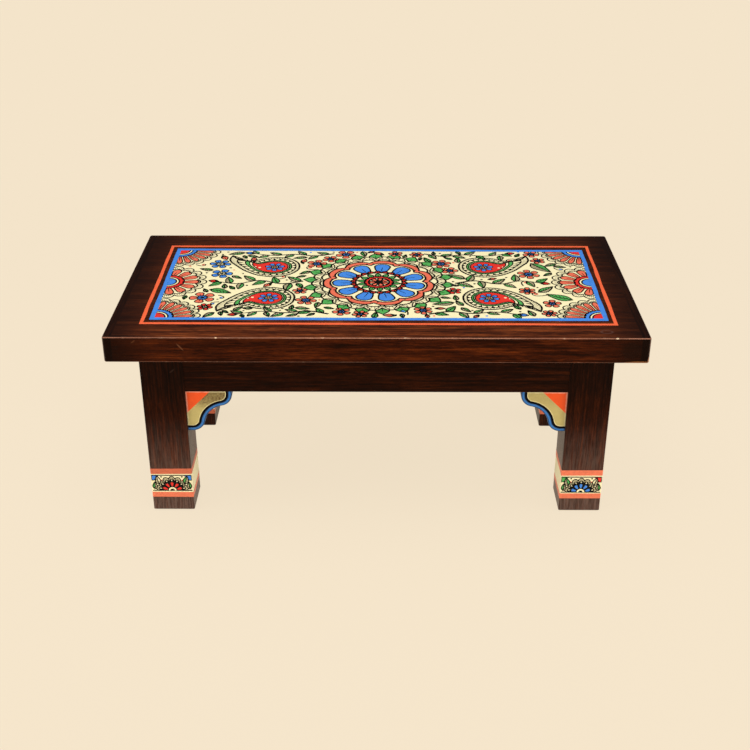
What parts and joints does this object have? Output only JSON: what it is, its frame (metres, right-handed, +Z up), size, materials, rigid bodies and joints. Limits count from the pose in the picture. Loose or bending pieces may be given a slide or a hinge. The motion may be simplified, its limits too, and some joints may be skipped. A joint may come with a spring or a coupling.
{
  "type": "bajot low table",
  "caption": "Low rectangular bajot table in dark stained wood, with a painted border and ornament on the top, banded square legs and painted scalloped brackets below the aprons.",
  "frame": {"origin": "on the floor, under the middle of the top (bottom centre of the bounding box)", "axes": "+X along the length, to the right seen from the front; the front faces -Y; +Z up"},
  "size_m": [0.61, 0.312, 0.25],
  "materials": {
    "stained_wood": "dark red-brown stain under satin varnish",
    "painted_bracket": "hand-painted wood, satin",
    "batten_wood": "plain sawn wood, unvarnished",
    "dowel_wood": "plain beech",
    "screw_steel": "zinc plated",
    "paint_cream": "satin acrylic paint, ground of the ornament",
    "paint_orange": "satin acrylic paint, lines and leg stripes",
    "paint_blue": "satin acrylic paint",
    "paint_red": "satin acrylic paint",
    "paint_coral": "satin acrylic paint",
    "paint_green": "satin acrylic paint",
    "paint_grey": "satin acrylic paint, under the hatching",
    "paint_black": "satin acrylic paint, ink lines"
  },
  "bodies": {
    "root": {"top_plank_front": "stained_wood", "top_plank_middle": "stained_wood", "top_plank_rear": "stained_wood", "end_lipping_left": "stained_wood", "end_lipping_right": "stained_wood", "leg_front_left": "stained_wood", "leg_front_right": "stained_wood", "leg_rear_left": "stained_wood", "leg_rear_right": "stained_wood", "apron_front": "stained_wood", "apron_rear": "stained_wood", "apron_left": "stained_wood", "apron_right": "stained_wood", "bracket_front_left": "painted_bracket", "bracket_front_right": "painted_bracket", "bracket_rear_left": "painted_bracket", "bracket_rear_right": "painted_bracket", "bracket_left_front": "painted_bracket", "bracket_left_rear": "painted_bracket", "bracket_right_front": "painted_bracket", "bracket_right_rear": "painted_bracket", "batten_front": "batten_wood", "batten_rear": "batten_wood", "batten_left": "batten_wood", "batten_right": "batten_wood", "batten_to_apron_screws": "screw_steel", "batten_to_top_screws": "screw_steel", "bracket_dowels": "dowel_wood"}
  },
  "joints": []
}
